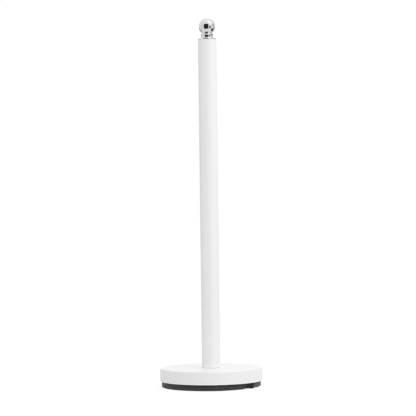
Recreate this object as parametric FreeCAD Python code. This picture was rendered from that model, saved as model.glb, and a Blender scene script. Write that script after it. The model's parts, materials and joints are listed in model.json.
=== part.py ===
"""Free-standing roll holder: a weighted round base with a rubber edge strip, a slim round post that
rolls drop over, and a chromed ball finial that screws into the top of the post.

Frame: Z up, origin on the floor under the middle of the base, -Y to the front. Millimetres.
Threads are plain cylinders at their major diameter, with the thread's own clearance round them.
"""

import FreeCAD, Part  # isort: skip
import math
import os

V = FreeCAD.Vector
AXIS = V(0, 0, 1)
OUT = "parts"

# Post
TUBE_D = 25.0
TUBE_WALL = 0.8
TUBE_LENGTH = 442.5
EDGE_BREAK = 0.2

# Base
COVER_D = 138.0
COVER_TOP_Z = 25.6
COVER_RIM_Z = 8.1
SHEET = 1.0
TOP_EDGE_R = 1.2
RIM_EDGE_R = 0.6
RIM_FLANGE = 3.4
SPIGOT_HOLE_R = 8.15
STRIP_D = 133.6
STRIP_WALL = 4.6
STRIP_LIP = 7.8
PLATE_Z = 3.0
PLATE_T = 1.5
PLATE_R = 61.8
BALLAST_STEP_Z = 10.4
BALLAST_LOW_R = 62.0
BALLAST_HIGH_R = 64.8
PAD_T = 6.0
BOSS_R = 20.0

# Butt joint of the rubber strip, seen from above and counted from +X
JOINT_DEG = -33.5
TAIL_LENGTH = 13.0
JOINT_GAP = 0.8
STRIP_GROOVE = 0.3

# M8 clamp bolt under the base
BOLT_R = 4.0
BOLT_HEAD_R = 7.0
BOLT_HEAD_H = 4.4
BOLT_LENGTH = 35.0
BOLT_HEX = 5.0
COUNTERBORE_R = 9.0
LOCK_WASHER_T = 2.0
FLAT_WASHER_T = 1.6

# M3 countersunk screws of the bottom plate
SCREW_COUNT = 3
SCREW_CIRCLE_R = 45.0
SCREW_R = 1.5
SCREW_HEAD_R = 2.75
SCREW_LENGTH = 10.0

# Finial, heights counted from the top of the post
CAP_H = 3.2
CAP_SHADOW_GAP = 0.35
NECK_R = 8.1
BEAD_LOW_Z = 5.4
BEAD_HIGH_Z = 7.7
BEAD_R = 8.75
SCOOP_R = 0.7
WAIST_Z = 9.9
WAIST_R = 7.2
BALL_R = 11.2
BALL_HALF_H = 11.7
BALL_CENTRE_Z = 17.7
SPIGOT_R = 11.3
SPIGOT_H = 6.5
SEAL_RING_R = 10.75
SEAL_SECTION_R = 0.9
STUD_R = 3.0
STUD_IN_INSERT = 9.0
STUD_IN_BALL = 9.5
INSERT_H = 16.0
FOOT_INSERT_H = 20.0
INSERT_DROP = 8.0
THREAD_CLEARANCE = 0.05

# Worked out from the above
TUBE_R = TUBE_D / 2
BORE_R = TUBE_R - TUBE_WALL
COVER_R = COVER_D / 2
COVER_UNDER_Z = COVER_TOP_Z - SHEET
TUBE_TOP_Z = COVER_TOP_Z + TUBE_LENGTH
STRIP_R = STRIP_D / 2
BALLAST_Z = PLATE_Z + PLATE_T
BALLAST_TOP_Z = COVER_UNDER_Z - PAD_T
BOLT_HEAD_Z = PLATE_Z + 0.4
BOLT_SEAT_Z = BOLT_HEAD_Z + BOLT_HEAD_H
COUNTERBORE_TOP_Z = BOLT_SEAT_Z + LOCK_WASHER_T + FLAT_WASHER_T
INSERT_TOP_Z = TUBE_TOP_Z - INSERT_DROP
INSERT_R = BORE_R - 0.02


def section(start, *steps):
    """Face in the XZ plane. A step is (r, z) for a straight run, or ((r, z), (r, z)) for an arc
    through the first point to the second."""
    edges, here = [], V(start[0], 0, start[1])
    for step in [*steps, start]:
        is_arc = isinstance(step[0], tuple)
        end = V(step[-1][0], 0, step[-1][1]) if is_arc else V(step[0], 0, step[1])
        if is_arc:
            edges.append(Part.Arc(here, V(step[0][0], 0, step[0][1]), end).toShape())
        elif (end - here).Length > 1e-6:
            edges.append(Part.LineSegment(here, end).toShape())
        here = end
    return Part.Face(Part.Wire(edges))


def lathe(start, *steps):
    return section(start, *steps).revolve(V(0, 0, 0), AXIS, 360)


def corner(centre_r, centre_z, radius, start_deg, end_deg):
    """The two points of an arc step round a centre in the XZ plane, angles counted from +r to +z."""
    return tuple(
        (
            centre_r + radius * math.cos(math.radians(angle)),
            centre_z + radius * math.sin(math.radians(angle)),
        )
        for angle in ((start_deg + end_deg) / 2, end_deg)
    )


def disc(radius, low, high):
    return Part.makeCylinder(radius, high - low, V(0, 0, low))


def turned(shape, degrees):
    copy = shape.copy()
    copy.rotate(V(0, 0, 0), AXIS, degrees)
    return copy


def on_screw_circle(shape):
    """One copy of a shape on the Z axis for each plate screw."""
    shape = shape.copy()
    shape.translate(V(SCREW_CIRCLE_R, 0, 0))
    return [turned(shape, 30 + i * 360 / SCREW_COUNT) for i in range(SCREW_COUNT)]


def hexagon(across_flats, low, high):
    radius = across_flats / math.sqrt(3)
    points = [
        V(radius * math.cos(k * math.pi / 3), radius * math.sin(k * math.pi / 3), low)
        for k in range(7)
    ]
    return Part.Face(Part.makePolygon(points)).extrude(V(0, 0, high - low))


def base_cover():
    """Drawn steel shell: flat top, rounded top edge, and a rim folded in sharply under the wall."""
    top_r, top_z = COVER_R - TOP_EDGE_R, COVER_TOP_Z - TOP_EDGE_R
    rim_r, rim_z = COVER_R - RIM_EDGE_R, COVER_RIM_Z + RIM_EDGE_R
    flange_r = COVER_R - RIM_FLANGE
    return lathe(
        (SPIGOT_HOLE_R, COVER_TOP_Z),
        (top_r, COVER_TOP_Z),
        corner(top_r, top_z, TOP_EDGE_R, 90, 0),
        (COVER_R, rim_z),
        corner(rim_r, rim_z, RIM_EDGE_R, 0, -90),
        (flange_r, COVER_RIM_Z),
        (flange_r, COVER_RIM_Z + SHEET),
        (COVER_R - SHEET, COVER_RIM_Z + SHEET),
        (COVER_R - SHEET, top_z),
        corner(top_r, top_z, TOP_EDGE_R - SHEET, 0, 90),
        (SPIGOT_HOLE_R, COVER_UNDER_Z),
    )


def ballast():
    """Cast iron weight with a boss that carries the clamp load to the middle of the cover."""
    edge = 1.5
    high_r = BALLAST_HIGH_R
    body = lathe(
        (COUNTERBORE_R, BALLAST_Z),
        (BALLAST_LOW_R, BALLAST_Z),
        (BALLAST_LOW_R, BALLAST_STEP_Z),
        (high_r, BALLAST_STEP_Z),
        (high_r, BALLAST_TOP_Z - edge),
        corner(high_r - edge, BALLAST_TOP_Z - edge, edge, 0, 90),
        (BOSS_R, BALLAST_TOP_Z),
        (BOSS_R, COVER_UNDER_Z),
        (BOLT_R + 0.3, COVER_UNDER_Z),
        (BOLT_R + 0.3, COUNTERBORE_TOP_Z),
        (COUNTERBORE_R, COUNTERBORE_TOP_Z),
    )
    hole = disc(SCREW_R + THREAD_CLEARANCE, BALLAST_Z, BALLAST_Z + SCREW_LENGTH)
    return body.cut(Part.makeCompound(on_screw_circle(hole)))


def ballast_pad():
    """Foam ring between ballast and cover that stops the weight from rattling."""
    return disc(60, BALLAST_TOP_Z, COVER_UNDER_Z).cut(disc(BOSS_R + 4, BALLAST_TOP_Z, COVER_UNDER_Z))


def bottom_plate():
    body = disc(PLATE_R, PLATE_Z, BALLAST_Z).cut(disc(COUNTERBORE_R, PLATE_Z, BALLAST_Z))
    clear = 0.1
    cone_h = SCREW_HEAD_R - SCREW_R
    sink = lathe(
        (0, PLATE_Z),
        (SCREW_HEAD_R + clear, PLATE_Z),
        (SCREW_HEAD_R + clear, PLATE_Z + clear),
        (SCREW_R + clear, PLATE_Z + clear + cone_h),
        (SCREW_R + clear, BALLAST_Z),
        (0, BALLAST_Z),
    )
    return body.cut(Part.makeCompound(on_screw_circle(sink)))


def plate_screws():
    """Countersunk screws with a cross recess, flush with the underside of the plate."""
    land = 0.1
    body = lathe(
        (0, PLATE_Z),
        (SCREW_HEAD_R, PLATE_Z),
        (SCREW_HEAD_R, PLATE_Z + land),
        (SCREW_R, PLATE_Z + land + SCREW_HEAD_R - SCREW_R),
        (SCREW_R, PLATE_Z + SCREW_LENGTH - 0.5),
        (SCREW_R - 0.5, PLATE_Z + SCREW_LENGTH),
        (0, PLATE_Z + SCREW_LENGTH),
    )
    arm, slot, depth = 1.5, 0.35, 1.2
    for length, width in ((arm, slot), (slot, arm)):
        corner_point = V(-length, -width, PLATE_Z)
        body = body.cut(Part.makeBox(2 * length, 2 * width, depth, corner_point))
    return Part.makeCompound(on_screw_circle(body))


def strip_section():
    """Section of the rubber edge strip: a wall with two fine grooves, and a lip under the plate."""
    edge_r = 1.4
    grooves = []
    for z in (2.9, 5.2):
        grooves += [
            (STRIP_R, z - STRIP_GROOVE),
            (STRIP_R - STRIP_GROOVE, z),
            (STRIP_R, z + STRIP_GROOVE),
        ]
    return section(
        (STRIP_R - STRIP_LIP, 0),
        (STRIP_R - edge_r, 0),
        corner(STRIP_R - edge_r, edge_r, edge_r, -90, 0),
        *grooves,
        (STRIP_R, COVER_RIM_Z),
        (STRIP_R - STRIP_WALL, COVER_RIM_Z),
        (STRIP_R - STRIP_WALL, PLATE_Z),
        (STRIP_R - STRIP_LIP, PLATE_Z),
    )


def edge_strip():
    """Rubber strip laid round the foot, its two ends meeting in a butt joint. The end on the front
    side of the joint stays straight, so that it stands a little proud."""
    tail_deg = math.degrees(math.atan2(TAIL_LENGTH, STRIP_R))
    tail_start = JOINT_DEG - tail_deg
    ring = turned(strip_section(), JOINT_DEG).revolve(V(0, 0, 0), AXIS, 360 - tail_deg)
    heading = math.radians(tail_start)
    along = V(-math.sin(heading), math.cos(heading), 0)
    tail = turned(strip_section(), tail_start).extrude(along * TAIL_LENGTH)
    past_joint = Part.makeBox(STRIP_R, STRIP_LIP, 2 * COVER_RIM_Z, V(STRIP_R / 2, -JOINT_GAP, -1))
    return ring.fuse(tail.cut(turned(past_joint, JOINT_DEG))).removeSplitter()


def clamp_bolt():
    """Button head bolt with a hexagon socket."""
    tip = 1.0
    shank_end = BOLT_SEAT_Z + BOLT_LENGTH
    face_r = 3.6
    body = lathe(
        (0, BOLT_HEAD_Z),
        (face_r, BOLT_HEAD_Z),
        ((5.9, BOLT_HEAD_Z + 1.6), (BOLT_HEAD_R, BOLT_SEAT_Z - 0.6)),
        (BOLT_HEAD_R, BOLT_SEAT_Z),
        (BOLT_R, BOLT_SEAT_Z),
        (BOLT_R, shank_end - tip),
        (BOLT_R - tip, shank_end),
        (0, shank_end),
    )
    return body.cut(hexagon(BOLT_HEX, BOLT_HEAD_Z, BOLT_HEAD_Z + 2.6))


def lock_washer():
    """Split spring washer, closed flat, with its slanting split."""
    low, high = BOLT_SEAT_Z, BOLT_SEAT_Z + LOCK_WASHER_T
    ring = disc(7.2, low, high).cut(disc(BOLT_R + 0.15, low, high))
    split = Part.makeBox(8, 0.8, 4 * LOCK_WASHER_T, V(0, -0.4, -2 * LOCK_WASHER_T))
    split.rotate(V(0, 0, 0), V(1, 0, 0), 25)
    split.translate(V(0, 0, (low + high) / 2))
    return ring.cut(split)


def flat_washer():
    low, high = BOLT_SEAT_Z + LOCK_WASHER_T, COUNTERBORE_TOP_Z
    return disc(8.0, low, high).cut(disc(BOLT_R + 0.2, low, high))


def post_tube():
    top, cut = TUBE_TOP_Z, EDGE_BREAK
    return lathe(
        (BORE_R, COVER_TOP_Z),
        (TUBE_R - cut, COVER_TOP_Z),
        (TUBE_R, COVER_TOP_Z + cut),
        (TUBE_R, top - cut),
        (TUBE_R - cut, top),
        (BORE_R, top),
    )


def glue_grooves(low, high):
    """Steps for two shallow glue grooves down the outside of an insert."""
    depth, width = 0.4, 1.5
    steps = [(INSERT_R, high)]
    for share in (2 / 3, 1 / 3):
        z = low + (high - low) * share
        steps += [
            (INSERT_R, z + width / 2),
            (INSERT_R - depth, z + width / 2),
            (INSERT_R - depth, z - width / 2),
            (INSERT_R, z - width / 2),
        ]
    return [*steps, (INSERT_R, low)]


def foot_insert():
    """Threaded plug in the foot of the post, with a spigot that centres the post on the cover."""
    spigot_r, bore = SPIGOT_HOLE_R - 0.15, BOLT_R + THREAD_CLEARANCE
    high = COVER_TOP_Z + FOOT_INSERT_H
    return lathe(
        (bore, high),
        *glue_grooves(COVER_TOP_Z, high),
        (spigot_r, COVER_TOP_Z),
        (spigot_r, COVER_UNDER_Z),
        (bore, COVER_UNDER_Z),
    )


def top_insert():
    """Threaded plug a little way down the post, for the stud of the finial."""
    bore, low = STUD_R + THREAD_CLEARANCE, INSERT_TOP_Z - INSERT_H
    return lathe((bore, INSERT_TOP_Z), *glue_grooves(low, INSERT_TOP_Z), (bore, low))


def finial_cap():
    """Flared cap that covers the end of the post, with a fine shadow gap round its foot and a spigot
    grooved for the O-ring."""
    top, bore = TUBE_TOP_Z, STUD_R + THREAD_CLEARANCE
    rim_r = TUBE_R - 0.1
    groove_r = SEAL_RING_R - SEAL_SECTION_R - 0.05
    groove_half = SEAL_SECTION_R + 0.1
    groove_z = top - SPIGOT_H / 2
    return lathe(
        (bore, top + CAP_H),
        (NECK_R, top + CAP_H),
        ((8.4, top + 2.45), (9.2, top + 2.15)),
        (10.6, top + 2.0),
        ((rim_r - 0.75, top + 1.69), (rim_r, top + 0.9)),
        (rim_r, top + CAP_SHADOW_GAP),
        (rim_r - 0.5, top + CAP_SHADOW_GAP),
        (rim_r - 0.5, top),
        (SPIGOT_R, top),
        (SPIGOT_R, groove_z + groove_half),
        (groove_r, groove_z + groove_half),
        (groove_r, groove_z - groove_half),
        (SPIGOT_R, groove_z - groove_half),
        (SPIGOT_R, top - SPIGOT_H + 0.5),
        (SPIGOT_R - 0.5, top - SPIGOT_H),
        (bore, top - SPIGOT_H),
    )


def finial_collar():
    """Turned ring under the ball: a straight neck, a bead that flares out to a rounded edge, and a
    scooped waist."""
    low, high = TUBE_TOP_Z + CAP_H, TUBE_TOP_Z + WAIST_Z
    bead_high, bore = TUBE_TOP_Z + BEAD_HIGH_Z, STUD_R + THREAD_CLEARANCE
    return lathe(
        (bore, low),
        (NECK_R, low),
        (NECK_R, TUBE_TOP_Z + BEAD_LOW_Z),
        (BEAD_R - 0.1, bead_high - 0.95),
        ((BEAD_R, bead_high - 0.55), (BEAD_R - 0.5, bead_high)),
        (WAIST_R + SCOOP_R, bead_high),
        corner(WAIST_R + SCOOP_R, bead_high + SCOOP_R, SCOOP_R, 270, 180),
        (WAIST_R, high),
        (bore, high),
    )


def finial_ball():
    """Ball, slightly taller than wide, with a blind threaded hole from below."""
    centre, flat = TUBE_TOP_Z + BALL_CENTRE_Z, TUBE_TOP_Z + WAIST_Z
    shape = Part.Ellipse(V(0, 0, centre + BALL_HALF_H), V(BALL_R, 0, centre), V(0, 0, centre))
    to_flat = math.acos((flat - centre) / BALL_HALF_H)
    outline = Part.ArcOfEllipse(shape, 0, to_flat).toShape()
    pole, rim = outline.valueAt(outline.FirstParameter), outline.valueAt(outline.LastParameter)
    foot = V(0, 0, rim.z)
    straight = [Part.LineSegment(rim, foot).toShape(), Part.LineSegment(foot, pole).toShape()]
    body = Part.Face(Part.Wire([outline, *straight])).revolve(V(0, 0, 0), AXIS, 360)
    return body.cut(disc(STUD_R + THREAD_CLEARANCE, flat, flat + STUD_IN_BALL + 0.5))


def finial_stud():
    """Headless M6 stud that joins ball, collar and cap, and screws into the top insert."""
    low, high, tip = INSERT_TOP_Z - STUD_IN_INSERT, TUBE_TOP_Z + WAIST_Z + STUD_IN_BALL, 0.6
    return lathe(
        (0, low),
        (STUD_R - tip, low),
        (STUD_R, low + tip),
        (STUD_R, high - tip),
        (STUD_R - tip, high),
        (0, high),
    )


def seal_ring():
    """O-ring on the spigot of the cap, which stops the cap from rattling in the post."""
    return Part.makeTorus(SEAL_RING_R, SEAL_SECTION_R, V(0, 0, TUBE_TOP_Z - SPIGOT_H / 2))


NODES = [
    base_cover,
    ballast,
    ballast_pad,
    bottom_plate,
    plate_screws,
    edge_strip,
    clamp_bolt,
    lock_washer,
    flat_washer,
    post_tube,
    foot_insert,
    top_insert,
    finial_cap,
    finial_collar,
    finial_ball,
    finial_stud,
    seal_ring,
]

os.makedirs(OUT, exist_ok=True)
for make in NODES:
    shape = make()
    assert shape.isValid() and shape.Volume > 0, make.__name__
    shape.exportStep(os.path.join(OUT, make.__name__ + ".step"))
    print(f"{make.__name__:14s} {len(shape.Solids)} solid(s) {shape.Volume / 1000:9.3f} cm3")
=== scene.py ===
import json
import math

import bmesh
import bpy
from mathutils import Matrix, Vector


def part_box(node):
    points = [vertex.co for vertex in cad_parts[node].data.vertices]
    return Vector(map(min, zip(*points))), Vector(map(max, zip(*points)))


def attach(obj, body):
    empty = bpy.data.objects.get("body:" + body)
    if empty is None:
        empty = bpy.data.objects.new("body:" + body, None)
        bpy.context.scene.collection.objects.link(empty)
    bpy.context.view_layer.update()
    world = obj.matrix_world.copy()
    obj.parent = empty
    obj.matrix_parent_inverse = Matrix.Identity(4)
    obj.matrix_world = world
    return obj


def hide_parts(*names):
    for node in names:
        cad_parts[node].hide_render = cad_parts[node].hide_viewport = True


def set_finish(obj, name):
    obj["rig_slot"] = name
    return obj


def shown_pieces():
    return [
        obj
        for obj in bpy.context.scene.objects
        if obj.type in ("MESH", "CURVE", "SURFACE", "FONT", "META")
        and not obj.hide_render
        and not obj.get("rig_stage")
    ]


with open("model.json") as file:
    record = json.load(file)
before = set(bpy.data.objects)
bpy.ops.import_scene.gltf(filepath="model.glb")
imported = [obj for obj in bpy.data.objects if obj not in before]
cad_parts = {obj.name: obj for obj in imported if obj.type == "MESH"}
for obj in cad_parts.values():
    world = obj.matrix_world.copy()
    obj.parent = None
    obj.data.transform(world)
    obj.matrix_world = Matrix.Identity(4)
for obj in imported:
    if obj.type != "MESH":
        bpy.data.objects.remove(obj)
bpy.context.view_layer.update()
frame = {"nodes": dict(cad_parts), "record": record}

MM = 0.001


# ---------------------------------------------------------------- sizes of the CAD model, metres

def outer_radius(node):
    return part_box(node)[1].x


def heights(node):
    low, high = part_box(node)
    return low.z, high.z


COVER_R = outer_radius("base_cover")
COVER_RIM, COVER_TOP = heights("base_cover")
COVER_SHEET = 1.0 * MM
COVER_TOP_EDGE = 1.2 * MM
COVER_RIM_EDGE = 0.6 * MM
COVER_FLANGE = 3.4 * MM
COVER_HOLE = 8.15 * MM

TUBE_R = outer_radius("post_tube")
TUBE_FOOT, TUBE_TOP = heights("post_tube")
TUBE_WALL = 0.8 * MM

STRIP_R = 66.8 * MM
STRIP_TOP = heights("edge_strip")[1]
STRIP_WALL = 4.6 * MM
STRIP_LIP = 7.8 * MM
STRIP_LIP_TOP = 3.0 * MM
STRIP_EDGE = 1.4 * MM
GROOVE_HEIGHTS = (3.2 * MM, 4.7 * MM, 6.2 * MM)
GROOVE_DEPTH = 0.22 * MM
JOINT_ANGLE = math.radians(-33.5)
JOINT_GAP = 0.8 * MM
TAIL_LENGTH = 13.0 * MM

CAP_LOW, CAP_TOP = heights("finial_cap")
CAP_R = TUBE_R - 0.1 * MM
CAP_GAP_H = 0.35 * MM
CAP_GAP_DEPTH = 0.5 * MM
SPIGOT_R = 11.3 * MM
SEAL_GROOVE_R = 9.8 * MM
SEAL_GROOVE_H = 2.0 * MM
NECK_R = 8.1 * MM
BEAD_R = outer_radius("finial_collar")
BEAD_LOW, BEAD_HIGH = TUBE_TOP + 5.4 * MM, TUBE_TOP + 7.7 * MM
WAIST_R = 7.2 * MM
SCOOP_R = 0.7 * MM
WAIST_TOP = heights("finial_collar")[1]
BALL_TOP = heights("finial_ball")[1]
BALL_R = 11.2 * MM
BALL_HALF_H = 11.7 * MM
BALL_CENTRE = BALL_TOP - BALL_HALF_H
BALL_MIDDLE = Vector((0, 0, BALL_CENTRE))
STUD_R = outer_radius("finial_stud")
STUD_BORE = STUD_R + 0.05 * MM
STUD_HOLE_DEPTH = 10.0 * MM
DRILL_TIP = 1.5 * MM
M6_PITCH = 1.0 * MM


# ---------------------------------------------------------------- mesh helpers

def arc(centre, radius, start, end, steps=8):
    """Points on an arc in the (r, z) plane, angles in degrees from +r towards +z."""
    angles = [math.radians(start + (end - start) * i / steps) for i in range(steps + 1)]
    return [(centre[0] + radius * math.cos(a), centre[1] + radius * math.sin(a)) for a in angles]


def bow(start, through, end, steps=10):
    """Points on the circle through three points in the (r, z) plane, without the first one."""
    a, b, c = Vector(start), Vector(through), Vector(end)
    d = 2 * (a.x * (b.y - c.y) + b.x * (c.y - a.y) + c.x * (a.y - b.y))
    centre = Vector((
        (a.dot(a) * (b.y - c.y) + b.dot(b) * (c.y - a.y) + c.dot(c) * (a.y - b.y)) / d,
        (a.dot(a) * (c.x - b.x) + b.dot(b) * (a.x - c.x) + c.dot(c) * (b.x - a.x)) / d,
    ))
    first = a - centre
    turn = math.atan2(first.cross(c - centre), first.dot(c - centre))
    middle = math.atan2(first.cross(b - centre), first.dot(b - centre))
    if (middle > 0) != (turn > 0) or abs(middle) > abs(turn):
        turn -= math.copysign(2 * math.pi, turn)
    points = []
    for i in range(1, steps + 1):
        angle = turn * i / steps
        cos, sin = math.cos(angle), math.sin(angle)
        offset = Vector((first.x * cos - first.y * sin, first.x * sin + first.y * cos))
        points.append(tuple(centre + offset))
    return points


def eased(outline, radius, steps=3):
    """The closed outline with every sharp corner rounded off by a small radius."""
    rounded = []
    for i, point in enumerate(outline):
        here = Vector(point)
        back, ahead = Vector(outline[i - 1]) - here, Vector(outline[(i + 1) % len(outline)]) - here
        sharp = back.length > 0 and ahead.length > 0 and back.angle(ahead) < math.radians(150)
        if not sharp or here.x < 1e-6:
            rounded.append(point)
            continue
        cut = min(radius, 0.4 * back.length, 0.4 * ahead.length)
        first, last = here + back.normalized() * cut, here + ahead.normalized() * cut
        for k in range(steps + 1):
            t = k / steps
            rounded.append(tuple(first * (1 - t) ** 2 + here * 2 * t * (1 - t) + last * t ** 2))
    return rounded


def new_piece(name, vertices, faces, body, slot, stands_for):
    mesh = bpy.data.meshes.new(name)
    mesh.from_pydata(vertices, [], faces)
    tidy = bmesh.new()
    tidy.from_mesh(mesh)
    bmesh.ops.remove_doubles(tidy, verts=tidy.verts, dist=1e-7)
    bmesh.ops.recalc_face_normals(tidy, faces=tidy.faces)
    tidy.to_mesh(mesh)
    tidy.free()
    mesh.shade_smooth()
    piece = bpy.data.objects.new(name, mesh)
    bpy.context.scene.collection.objects.link(piece)
    weighted = piece.modifiers.new("even_shading", "WEIGHTED_NORMAL")
    weighted.keep_sharp = True
    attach(piece, body)
    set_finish(piece, slot)
    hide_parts(stands_for)
    return piece


def lathe(outline, segments=256):
    """Vertices and faces of a closed (r, z) outline turned round the Z axis."""
    vertices, faces = [], []
    count = len(outline)
    for s in range(segments):
        angle = 2 * math.pi * s / segments
        vertices += [(r * math.cos(angle), r * math.sin(angle), z) for r, z in outline]
    for s in range(segments):
        here, there = s * count, (s + 1) % segments * count
        for i in range(count):
            j = (i + 1) % count
            if outline[i][0] < 1e-9 and outline[j][0] < 1e-9:
                continue
            faces.append((here + i, here + j, there + j, there + i))
    return vertices, faces


# ---------------------------------------------------------------- the pieces that show

def make_cover():
    top_r, top_z = COVER_R - COVER_TOP_EDGE, COVER_TOP - COVER_TOP_EDGE
    rim_r, rim_z = COVER_R - COVER_RIM_EDGE, COVER_RIM + COVER_RIM_EDGE
    under = COVER_TOP - COVER_SHEET
    flange = COVER_R - COVER_FLANGE
    flat_ring = 0.6 * COVER_R
    outline = [
        (COVER_HOLE, under),
        (COVER_HOLE, COVER_TOP),
        (flat_ring, COVER_TOP),
        *arc((top_r, top_z), COVER_TOP_EDGE, 90, 0),
        *arc((rim_r, rim_z), COVER_RIM_EDGE, 0, -90),
        (flange, COVER_RIM),
        (flange, COVER_RIM + COVER_SHEET),
        (COVER_R - COVER_SHEET, COVER_RIM + COVER_SHEET),
        *arc((top_r, top_z), COVER_TOP_EDGE - COVER_SHEET, 0, 90),
    ]
    mesh = lathe(eased(outline, 0.15 * MM))
    return new_piece("cover_shell", *mesh, "stand", "white_paint", "base_cover")


def make_tube():
    bore = TUBE_R - TUBE_WALL
    head = eased([(TUBE_R, TUBE_FOOT), (TUBE_R, TUBE_TOP), (bore, TUBE_TOP)], 0.3 * MM)
    mesh = lathe([(bore, TUBE_FOOT), *head])
    return new_piece("post", *mesh, "stand", "white_paint", "post_tube")


def strip_outline(lift):
    """Section of the rubber strip as (r, z), its foot lifted off the floor by the given height."""
    half_w = 1.2 * GROOVE_DEPTH
    grooves = []
    for z in GROOVE_HEIGHTS:
        grooves += [(STRIP_R, z - half_w), (STRIP_R - GROOVE_DEPTH, z), (STRIP_R, z + half_w)]
    outline = [
        (STRIP_R - STRIP_LIP, lift),
        *arc((STRIP_R - STRIP_EDGE, lift + STRIP_EDGE), STRIP_EDGE, -90, 0, 5),
        *grooves,
        (STRIP_R, STRIP_TOP),
        (STRIP_R - STRIP_WALL, STRIP_TOP),
        (STRIP_R - STRIP_WALL, STRIP_LIP_TOP),
        (STRIP_R - STRIP_LIP, STRIP_LIP_TOP),
    ]
    return eased(outline, 0.25 * MM, steps=2)


def strip_lift(degrees):
    """How far the foot of the strip lifts off the floor, by the angle from the joint. The rubber
    has pulled up a little behind its free end, and beyond the joint."""
    def swell(height, centre, width):
        return height * math.exp(-(((degrees - centre) / width) ** 2))
    behind = swell(1.0 * MM, -10.5, 6.5) + swell(0.35 * MM, -26, 12)
    beyond = swell(0.8 * MM, 6, 5) + swell(0.9 * MM, 21, 9)
    return behind + beyond


def make_strip(step_degrees=1.0):
    """The strip follows the foot from the joint right round, and runs straight for its last bit."""
    tail_angle = math.atan2(TAIL_LENGTH, STRIP_R)
    tail_start = JOINT_ANGLE - tail_angle + 2 * math.pi
    ring_start = JOINT_ANGLE + 0.5 * JOINT_GAP / STRIP_R
    steps = round(math.degrees(tail_start - ring_start) / step_degrees)
    stations = [(ring_start + (tail_start - ring_start) * i / steps, 0.0) for i in range(steps + 1)]
    tail_steps = 16
    reach = TAIL_LENGTH - JOINT_GAP
    stations += [(tail_start, reach * i / tail_steps) for i in range(1, tail_steps + 1)]
    vertices, faces = [], []
    for angle, along in stations:
        out = Vector((math.cos(angle), math.sin(angle), 0))
        ahead = Vector((-math.sin(angle), math.cos(angle), 0))
        turned = math.degrees(angle + along / STRIP_R - JOINT_ANGLE)
        lift = strip_lift(turned if turned < 180 else turned - 360)
        outline = strip_outline(lift)
        for r, z in outline:
            vertices.append(out * r + ahead * along * r / STRIP_R + Vector((0, 0, z)))
    count = len(outline)
    last = len(vertices) - count
    for here in range(0, last, count):
        there = here + count
        for i in range(count):
            j = (i + 1) % count
            faces.append((here + i, here + j, there + j, there + i))
    faces.append(tuple(range(count)))
    faces.append(tuple(range(last, last + count)))
    return new_piece("rubber_strip", vertices, faces, "stand", "strip_rubber", "edge_strip")


def make_cap():
    base = TUBE_TOP
    chamfer = 0.5 * MM
    groove_z = base - (base - CAP_LOW) / 2
    groove_low, groove_high = groove_z - SEAL_GROOVE_H / 2, groove_z + SEAL_GROOVE_H / 2
    gap_z, gap_r = base + CAP_GAP_H, CAP_R - CAP_GAP_DEPTH
    rim = (CAP_R, base + 0.9 * MM)
    rim_bow = (CAP_R - 0.75 * MM, base + 1.69 * MM)
    shoulder = (10.6 * MM, base + 2.0 * MM)
    hollow = (9.2 * MM, base + 2.15 * MM)
    hollow_bow = (8.4 * MM, base + 2.45 * MM)
    outline = [
        (STUD_BORE, CAP_LOW),
        (SPIGOT_R - chamfer, CAP_LOW),
        (SPIGOT_R, CAP_LOW + chamfer),
        (SPIGOT_R, groove_low),
        (SEAL_GROOVE_R, groove_low),
        (SEAL_GROOVE_R, groove_high),
        (SPIGOT_R, groove_high),
        (SPIGOT_R, base),
        (gap_r, base),
        (gap_r, gap_z),
        (CAP_R, gap_z),
        rim,
        *bow(rim, rim_bow, shoulder),
        hollow,
        *bow(hollow, hollow_bow, (NECK_R, CAP_TOP)),
        (STUD_BORE, CAP_TOP),
    ]
    mesh = lathe(eased(outline, 0.12 * MM))
    return new_piece("cap", *mesh, "finial", "chrome", "finial_cap")


def make_collar():
    flare_end = (BEAD_R - 0.1 * MM, BEAD_HIGH - 0.95 * MM)
    edge_bow = (BEAD_R, BEAD_HIGH - 0.55 * MM)
    edge_end = (BEAD_R - 0.5 * MM, BEAD_HIGH)
    outline = [
        (STUD_BORE, CAP_TOP),
        (NECK_R, CAP_TOP),
        (NECK_R, BEAD_LOW),
        flare_end,
        *bow(flare_end, edge_bow, edge_end),
        *arc((WAIST_R + SCOOP_R, BEAD_HIGH + SCOOP_R), SCOOP_R, 270, 180),
        (WAIST_R, WAIST_TOP),
        (STUD_BORE, WAIST_TOP),
    ]
    mesh = lathe(eased(outline, 0.1 * MM))
    return new_piece("collar", *mesh, "finial", "chrome", "finial_collar")


def make_ball():
    flat_angle = math.asin((WAIST_TOP - BALL_CENTRE) / BALL_HALF_H)
    steps = 96
    outline = []
    for i in range(steps + 1):
        angle = flat_angle + (math.pi / 2 - flat_angle) * i / steps
        r = max(0.0, BALL_R * math.cos(angle))
        outline.append((r, BALL_CENTRE + BALL_HALF_H * math.sin(angle)))
    outline[-1] = (0.0, BALL_TOP)
    hole_top = WAIST_TOP + STUD_HOLE_DEPTH
    outline += [(0.0, hole_top + DRILL_TIP), (STUD_BORE, hole_top), (STUD_BORE, WAIST_TOP)]
    mesh = lathe(eased(outline, 0.12 * MM))
    return new_piece("ball", *mesh, "finial", "chrome", "finial_ball")


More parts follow.
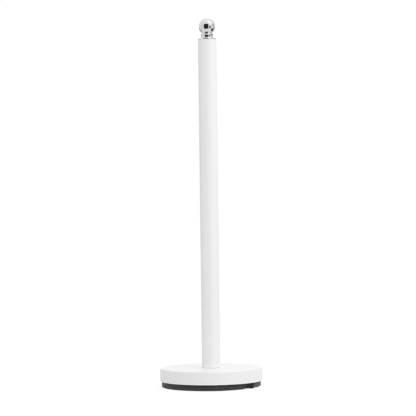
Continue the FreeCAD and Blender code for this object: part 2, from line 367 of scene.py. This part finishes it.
def threaded_rod(radius, pitch, low, high, segments=48):
    """Vertices and faces of a rod with a right-handed helical thread, tapering off at both ends."""
    depth = 0.61 * pitch
    root_flat = 0.25
    flank_slope = 2.6
    rows_per_pitch = 8
    rows = round((high - low) / pitch * rows_per_pitch)
    vertices, faces = [], []
    for k in range(rows + 1):
        z = low + (high - low) * k / rows
        run_out = min(1.0, (z - low) / pitch, (high - z) / pitch)
        for s in range(segments):
            turn = s / segments
            phase = ((z - low) / pitch - turn) % 1.0
            flank = min(1.0, max(0.0, abs(phase - 0.5) * flank_slope - root_flat))
            r = radius - depth * (1 - flank * run_out)
            angle = 2 * math.pi * turn
            vertices.append((r * math.cos(angle), r * math.sin(angle), z))
    for k in range(rows):
        here, above = k * segments, (k + 1) * segments
        for s in range(segments):
            t = (s + 1) % segments
            faces.append((here + s, here + t, above + t, above + s))
    faces.append(tuple(range(segments)))
    faces.append(tuple(range(rows * segments, (rows + 1) * segments)))
    return vertices, faces


def make_stud():
    low, high = heights("finial_stud")
    mesh = threaded_rod(STUD_R, M6_PITCH, low, high)
    return new_piece("stud", *mesh, "finial", "fastener_steel", "finial_stud")


def ease_underside():
    """The turned and pressed parts that show from below get their small broken edges."""
    for node in ("bottom_plate", "plate_screws", "clamp_bolt"):
        bevel = frame["nodes"][node].modifiers.new("broken_edges", "BEVEL")
        bevel.width = 0.15 * MM
        bevel.segments = 2
        bevel.limit_method = "ANGLE"
        bevel.angle_limit = math.radians(35)


# ---------------------------------------------------------------- materials

class Graph:
    """Adds nodes to a material or world and joins them."""

    def __init__(self, owner):
        owner.use_nodes = True
        self.tree = owner.node_tree
        self.tree.nodes.clear()

    def add(self, kind, inputs=(), **settings):
        node = self.tree.nodes.new(kind)
        for key, value in settings.items():
            setattr(node, key, value)
        for key, value in dict(inputs).items():
            if isinstance(value, bpy.types.NodeSocket):
                self.tree.links.new(value, node.inputs[key])
            else:
                node.inputs[key].default_value = value
        return node

    def math(self, operation, a, b=0.0):
        return self.add("ShaderNodeMath", {0: a, 1: b}, operation=operation).outputs[0]

    def length(self, vector):
        node = self.add("ShaderNodeVectorMath", {0: vector}, operation="LENGTH")
        return node.outputs["Value"]

    def scaled(self, vector, scale):
        node = self.add("ShaderNodeMapping", {"Vector": vector, "Scale": scale})
        return node.outputs[0]

    def noise(self, vector, scale, detail=2.0, roughness=0.5):
        inputs = {"Vector": vector, "Scale": scale, "Detail": detail, "Roughness": roughness}
        return self.add("ShaderNodeTexNoise", inputs).outputs[0]

    def fade(self, value, low, high, to_low=0.0, to_high=1.0):
        """Maps value from low..high to to_low..to_high, smoothly and clamped."""
        inputs = {0: value, 1: low, 2: high, 3: to_low, 4: to_high}
        node = self.add("ShaderNodeMapRange", inputs, interpolation_type="SMOOTHSTEP")
        return node.outputs[0]

    def mix(self, share, a, b):
        node = self.add("ShaderNodeMix", {0: share, 6: a, 7: b}, data_type="RGBA")
        return node.outputs[2]

    def bump(self, height, distance, strength=1.0, normal=None):
        inputs = {"Height": height, "Distance": distance, "Strength": strength}
        if normal is not None:
            inputs["Normal"] = normal
        return self.add("ShaderNodeBump", inputs).outputs[0]

    def surface(self, **inputs):
        shader = self.add("ShaderNodeBsdfPrincipled", inputs)
        self.add("ShaderNodeOutputMaterial", {"Surface": shader.outputs[0]})


def grey(value, tint=0.0):
    return (value, value, value * (1 + tint), 1.0)


def new_material(name):
    material = bpy.data.materials.new(name)
    graph = Graph(material)
    place = graph.add("ShaderNodeTexCoord").outputs["Object"]
    return material, graph, place


def powder_coat():
    """Satin white, with painted light that makes it a little paler along the rim of the base and
    round the foot of the post.
    """
    material, g, place = new_material("powder_coat")
    height = g.add("ShaderNodeSeparateXYZ", {0: place}).outputs[2]
    # Painted highlight: the colour turns paler on the rolled rim of the cover, just above the
    # rubber strip.
    rim = g.fade(height, COVER_RIM + 0.4 * MM, COVER_RIM + 2.2 * MM, 1.0, 0.0)
    # Painted light: the colour turns paler within 10 mm of where the post stands on the cover,
    # lifting the shade in that corner.
    out = g.math("SUBTRACT", g.length(g.scaled(place, (1.0, 1.0, 0.0))), TUBE_R)
    up = g.math("SUBTRACT", height, COVER_TOP)
    from_seam = g.length(g.add("ShaderNodeCombineXYZ", {0: out, 1: up}).outputs[0])
    foot_painted_light = g.fade(from_seam, 0.0, 10.0 * MM, 0.6, 0.0)
    peel = g.noise(place, 900.0, 2.0)
    grit = g.noise(place, 5200.0, 1.0)
    clouds = g.noise(place, 14.0, 3.0)
    rubs = g.fade(g.noise(g.scaled(place, (160.0, 160.0, 9.0)), 1.0, 3.0), 0.6, 0.8)
    colour = g.mix(clouds, grey(0.805, 0.004), grey(0.83, 0.004))
    colour = g.mix(g.math("MULTIPLY", rubs, 0.12), colour, grey(0.74))
    # Painted light: the rim and the foot of the post are mixed towards a paler white.
    colour = g.mix(g.math("MAXIMUM", rim, foot_painted_light), colour, grey(0.95))
    rough = g.math("ADD", g.fade(grit, 0.3, 0.7, 0.24, 0.31), g.math("MULTIPLY", rubs, 0.06))
    normal = g.bump(peel, 0.00012, 0.5)
    normal = g.bump(grit, 0.00002, 0.35, normal)
    g.surface(**{
        "Base Color": colour,
        "Roughness": rough,
        "IOR": 1.5,
        "Normal": normal,
    })
    return material


def chrome_plate():
    material, g, place = new_material("chrome_plate")
    smudge = g.fade(g.noise(place, 160.0, 4.0, 0.6), 0.45, 0.75)
    rings = g.noise(g.scaled(place, (400.0, 400.0, 9000.0)), 1.0, 2.0)
    rough = g.math("ADD", g.math("MULTIPLY", smudge, 0.05), 0.035)
    colour = g.mix(smudge, grey(0.80, 0.01), grey(0.74, 0.02))
    g.surface(**{
        "Base Color": colour,
        "Metallic": 1.0,
        "Roughness": rough,
        "Normal": g.bump(rings, 0.000004, 0.25),
    })
    return material


def strip_rubber():
    """Black rubber, streaked along its length and dusty. Painted shade makes it darker under the
    cover and before the free end, and painted light makes it lighter past the joint and on the far
    left."""
    material, g, place = new_material("strip_rubber")
    parts = g.add("ShaderNodeSeparateXYZ", {0: place}).outputs
    angle = g.math("ARCTAN2", parts[1], parts[0])
    unrolled = g.add("ShaderNodeCombineXYZ", {0: angle, 1: parts[2]}).outputs[0]
    streaks = g.noise(g.scaled(unrolled, (9.0, 1400.0, 1.0)), 1.0, 3.0, 0.65)
    dust = g.fade(g.noise(place, 260.0, 4.0, 0.7), 0.42, 0.75)
    pores = g.noise(place, 3800.0, 2.0)
    colour = g.mix(g.fade(streaks, 0.35, 0.65), grey(0.024), grey(0.056, 0.03))
    colour = g.mix(g.math("MULTIPLY", dust, 0.35), colour, grey(0.1, -0.02))
    # Painted shade: darker towards the top of the strip, where the cover's lip overhangs it.
    painted_shade_under_cover = g.fade(parts[2], 4.6 * MM, 7.2 * MM, 0.0, 0.62)
    bend = JOINT_ANGLE - math.radians(15.5), JOINT_ANGLE - math.radians(11.5)
    joint = JOINT_ANGLE - math.radians(0.2), JOINT_ANGLE + math.radians(0.2)
    # Painted shade: darker over the last few degrees before the free end at the joint.
    painted_shade_near_end = g.fade(angle, *bend, 0.0, 0.85)
    before_end = g.fade(angle, *joint, 1.0, 0.0)
    painted_shade_mask = g.math("MAXIMUM", painted_shade_under_cover, g.math("MULTIPLY", painted_shade_near_end, before_end))
    # Painted shade: both masks mix the rubber towards near black.
    colour = g.mix(painted_shade_mask, colour, grey(0.004))
    # Painted light: lighter from the joint round to the right side, and on the far left side, where
    # light grazes the strip.
    past_joint = g.fade(angle, *joint, 0.0, 0.3)
    painted_light_right_end = g.math("MULTIPLY", past_joint, g.fade(angle, 0.0, 0.5, 1.0, 0.0))
    painted_light_left_end = g.fade(angle, -math.pi, math.radians(-128), 0.22, 0.0)
    colour = g.mix(g.math("MAXIMUM", painted_light_right_end, painted_light_left_end), colour, grey(0.2))
    normal = g.bump(streaks, 0.00012, 0.5)
    normal = g.bump(pores, 0.00003, 0.6, normal)
    g.surface(**{
        "Base Color": colour,
        "Roughness": g.fade(streaks, 0.3, 0.7, 0.62, 0.48),
        "Specular IOR Level": 0.3,
        "Normal": normal,
    })
    return material


def seal_rubber():
    material, g, place = new_material("seal_rubber")
    film = g.noise(place, 900.0, 2.0)
    g.surface(**{
        "Base Color": g.mix(film, grey(0.012), grey(0.024)),
        "Roughness": g.fade(film, 0.3, 0.7, 0.3, 0.42),
        "Normal": g.bump(film, 0.00002, 0.4),
    })
    return material


def cast_iron():
    material, g, place = new_material("cast_iron")
    sand = g.noise(place, 1300.0, 4.0, 0.7)
    patches = g.noise(place, 60.0, 3.0)
    g.surface(**{
        "Base Color": g.mix(patches, grey(0.07, 0.03), (0.13, 0.115, 0.105, 1.0)),
        "Metallic": 0.6,
        "Roughness": g.fade(sand, 0.3, 0.7, 0.55, 0.75),
        "Normal": g.bump(sand, 0.0002, 0.7),
    })
    return material


def foam():
    material, g, place = new_material("foam")
    cells = g.add("ShaderNodeTexVoronoi", {"Vector": place, "Scale": 1100.0}).outputs[0]
    g.surface(**{
        "Base Color": g.mix(cells, grey(0.035), grey(0.075)),
        "Roughness": 0.95,
        "Normal": g.bump(cells, 0.0003, 0.8),
    })
    return material


def zinc_plate():
    material, g, place = new_material("zinc_plate")
    spangle = g.add("ShaderNodeTexVoronoi", {"Vector": place, "Scale": 170.0}).outputs["Color"]
    tone = g.add("ShaderNodeSeparateColor", {0: spangle}).outputs[0]
    grain = g.noise(g.scaled(place, (60.0, 3200.0, 60.0)), 1.0, 2.0)
    facets = g.fade(tone, 0.0, 1.0, 0.26, 0.4)
    g.surface(**{
        "Base Color": g.mix(tone, (0.46, 0.48, 0.50, 1.0), (0.60, 0.61, 0.62, 1.0)),
        "Metallic": 1.0,
        "Roughness": g.math("ADD", facets, g.math("MULTIPLY", grain, 0.08)),
        "Normal": g.bump(grain, 0.00001, 0.4),
    })
    return material


def zinc_fastener():
    material, g, place = new_material("zinc_fastener")
    film = g.noise(place, 420.0, 3.0)
    marks = g.noise(place, 3000.0, 2.0)
    g.surface(**{
        "Base Color": g.mix(film, (0.50, 0.51, 0.53, 1.0), (0.66, 0.66, 0.64, 1.0)),
        "Metallic": 1.0,
        "Roughness": g.fade(marks, 0.3, 0.7, 0.22, 0.36),
        "Normal": g.bump(marks, 0.00002, 0.4),
    })
    return material


def turned_alloy():
    material, g, place = new_material("turned_alloy")
    rings = g.noise(g.scaled(place, (40.0, 40.0, 4200.0)), 1.0, 2.0)
    g.surface(**{
        "Base Color": g.mix(rings, grey(0.62, 0.01), grey(0.74, 0.02)),
        "Metallic": 1.0,
        "Roughness": g.fade(rings, 0.3, 0.7, 0.24, 0.38),
        "Normal": g.bump(rings, 0.00003, 0.5),
    })
    return material


MATERIALS = {
    "white_paint": powder_coat,
    "chrome": chrome_plate,
    "strip_rubber": strip_rubber,
    "seal_rubber": seal_rubber,
    "ballast_iron": cast_iron,
    "foam": foam,
    "plated_sheet": zinc_plate,
    "fastener_steel": zinc_fastener,
    "insert_alloy": turned_alloy,
}


def paint_everything():
    """Every piece and every CAD node gets the material of its slot in the record."""
    made = {slot: make() for slot, make in MATERIALS.items()}
    slots = {row["node"]: row["material_slot"] for row in frame["record"]["subparts"]}
    for node, piece in frame["nodes"].items():
        piece.data.materials.clear()
        piece.data.materials.append(made[slots[node]])
    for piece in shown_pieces():
        if "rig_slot" in piece:
            piece.data.materials.append(made[piece["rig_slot"]])


# ---------------------------------------------------------------- studio

FLOOR_R = 0.8
FLOOR_DROP = 0.2 * MM
CAMERA_DISTANCE = 2.432
CAMERA_HEIGHT = 0.2409
CAMERA_SIDE = -1.65 * MM
CAMERA_LENS = 155.8
CAMERA_ROLL = math.radians(0.71)
TENT_LEVEL = 0.70
TENT_LOBES = (
    (30, 15, 0.24, 2.0),
    (60, 20, 0.44, 2.0),
    (180, 5, 0.19, 2.0),
    (0, 90, 0.53, 2.0),
)
MIRROR_LEVEL = 0.76
MIRROR_LOBES = (
    (0, 90, 0.22, 2.0),
    (60, 30, 0.08, 2.0),
    (58, 42, 0.3, 14.0),
    (180, 5, 0.16, 2.0),
)
BACKDROP_LEVEL = 1.02
FLOOR_GLOW = 0.85
SOFTBOX_SIZE = 0.32
SOFTBOX_POWER = 1.1


def make_camera():
    data = bpy.data.cameras.new("camera")
    data.lens = CAMERA_LENS
    data.sensor_width = 36.0
    camera = bpy.data.objects.new("camera", data)
    camera.location = (CAMERA_SIDE, -CAMERA_DISTANCE, CAMERA_HEIGHT)
    camera.rotation_euler = (math.radians(90), CAMERA_ROLL, 0)
    bpy.context.scene.collection.objects.link(camera)
    bpy.context.scene.camera = camera


def stage_material(name):
    material = bpy.data.materials.new(name)
    return material, Graph(material)


def make_floor():
    """A pale floor that the camera sees as clean white, with only a trace of contact shadow."""
    bpy.ops.mesh.primitive_circle_add(
        vertices=128, radius=FLOOR_R, fill_type="NGON", location=(0, 0, -FLOOR_DROP)
    )
    floor = bpy.context.object
    floor.name = "floor"
    material, g = stage_material("pale_floor")
    seen = g.add("ShaderNodeLightPath").outputs["Is Camera Ray"]
    diffuse = g.add("ShaderNodeBsdfDiffuse", {"Color": g.mix(seen, grey(0.72), grey(0.16))})
    glow_level = g.math("MULTIPLY", seen, FLOOR_GLOW)
    glow = g.add("ShaderNodeEmission", {"Color": grey(1.0), "Strength": glow_level})
    both = g.add("ShaderNodeAddShader", {0: diffuse.outputs[0], 1: glow.outputs[0]})
    clear = g.add("ShaderNodeBsdfTransparent")
    facing = g.add("ShaderNodeNewGeometry").outputs["Backfacing"]
    one_sided = g.add("ShaderNodeMixShader", {0: facing, 1: both.outputs[0], 2: clear.outputs[0]})
    g.add("ShaderNodeOutputMaterial", {"Surface": one_sided.outputs[0]})
    floor.data.materials.append(material)
    floor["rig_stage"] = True


def lobed_level(g, level, lobes):
    """A light level that rises towards each of the given headings, more sharply with a higher
    power. A lobe is (azimuth, elevation, strength, power)."""
    heading = g.add("ShaderNodeTexCoord").outputs["Generated"]
    for azimuth, elevation, strength, power in lobes:
        centre = heading_of(azimuth, elevation)
        facing = g.add("ShaderNodeVectorMath", {0: heading, 1: centre}, operation="DOT_PRODUCT")
        towards = g.math("MAXIMUM", facing.outputs["Value"], 0.0)
        lobe = g.math("MULTIPLY", g.math("POWER", towards, power), strength)
        level = g.math("ADD", lobe, level)
    return level


def make_surroundings():
    """A white light tent, brighter from the right front, with the background clean white."""
    world = bpy.data.worlds.new("tent")
    bpy.context.scene.world = world
    g = Graph(world)
    ray = g.add("ShaderNodeLightPath").outputs

    def white(level):
        inputs = {"Color": grey(1.0), "Strength": level}
        return g.add("ShaderNodeBackground", inputs).outputs[0]

    def mix_shaders(share, a, b):
        return g.add("ShaderNodeMixShader", {0: share, 1: a, 2: b}).outputs[0]

    lit = white(lobed_level(g, TENT_LEVEL, TENT_LOBES))
    mirrored = white(lobed_level(g, MIRROR_LEVEL, MIRROR_LOBES))
    tent = mix_shaders(ray["Is Glossy Ray"], lit, mirrored)
    both = mix_shaders(ray["Is Camera Ray"], tent, white(BACKDROP_LEVEL))
    g.add("ShaderNodeOutputWorld", {"Surface": both})


def make_softbox():
    """One softbox overhead, to the right and a little in front."""
    data = bpy.data.lights.new("softbox", "AREA")
    data.shape = "SQUARE"
    data.size = SOFTBOX_SIZE
    data.energy = SOFTBOX_POWER
    light = bpy.data.objects.new("softbox", data)
    place_towards(light, azimuth=52, elevation=55, distance=1.2)
    bpy.context.scene.collection.objects.link(light)


def heading_of(azimuth, elevation):
    """Unit vector at an azimuth and an elevation in degrees, the azimuth counted from the front
    to the right."""
    a, e = math.radians(azimuth), math.radians(elevation)
    return Vector((math.sin(a) * math.cos(e), -math.cos(a) * math.cos(e), math.sin(e)))


def place_towards(obj, azimuth, elevation, distance):
    """Puts an object that far from the ball, on that heading, with its face turned to the ball."""
    heading = heading_of(azimuth, elevation)
    obj.location = BALL_MIDDLE + heading * distance
    obj.rotation_euler = (-heading).to_track_quat("-Z", "Y").to_euler()


def make_flag(name, start, end, width, level, distance=0.7, corner=1.0):
    """A card that only shows as a reflection in the chrome. It runs from one heading to another, as
    (azimuth, elevation) seen from the ball, and covers the given width across, all in degrees."""
    first, last = heading_of(*start), heading_of(*end)
    centre = (first + last).normalized()
    along = (last - first).normalized()
    across = centre.cross(along)
    half_w = distance * math.tan(math.radians(width / 2))
    half_l = distance * math.tan(first.angle(last) / 2)
    round_r = corner * min(half_w, half_l)
    corner_steps = 6
    outline = []
    for side_x, side_y, turn in ((1, 1, 0), (-1, 1, 90), (-1, -1, 180), (1, -1, 270)):
        for k in range(corner_steps + 1):
            a = math.radians(turn + 90 * k / corner_steps)
            x = side_x * (half_l - round_r) + round_r * math.cos(a)
            y = side_y * (half_w - round_r) + round_r * math.sin(a)
            outline.append(BALL_MIDDLE + centre * distance + along * x + across * y)
    mesh = bpy.data.meshes.new(name)
    mesh.from_pydata(outline, [], [tuple(range(len(outline)))])
    flag = bpy.data.objects.new(name, mesh)
    bpy.context.scene.collection.objects.link(flag)
    flag.visible_camera = False
    flag.visible_diffuse = False
    flag.visible_shadow = False
    flag.visible_transmission = False
    material, g = stage_material(name)
    glow = g.add("ShaderNodeEmission", {"Color": grey(level), "Strength": 1.0})
    g.add("ShaderNodeOutputMaterial", {"Surface": glow.outputs[0]})
    mesh.materials.append(material)
    flag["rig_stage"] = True


def make_flags():
    """What the ball mirrors: the dark open front of the tent, and a few small things round it."""
    make_flag("tent_opening", (-46, 1), (20, 1), 65, 0.02, distance=0.8, corner=0.35)
    make_flag("small_flag", (27, -9), (57, -9), 28, 0.17)
    make_flag("stand_head", (68, -26), (124, -26), 26, 0.05)
    make_flag("stand_leg", (104, -22), (120, -2), 22, 0.3, distance=0.72)
    make_flag("right_panel", (84, 15), (114, 15), 22, 0.42)
    make_flag("right_wall", (128, 6), (168, 6), 52, 0.7, distance=0.9)
    make_flag("left_seam", (-148, 4), (-110, -46), 26, 0.36)


bpy.context.scene.view_settings.view_transform = "Standard"
make_camera()
make_floor()
make_surroundings()
make_softbox()
make_flags()
make_cover()
make_tube()
make_strip()
make_cap()
make_collar()
make_ball()
make_stud()
ease_underside()
paint_everything()
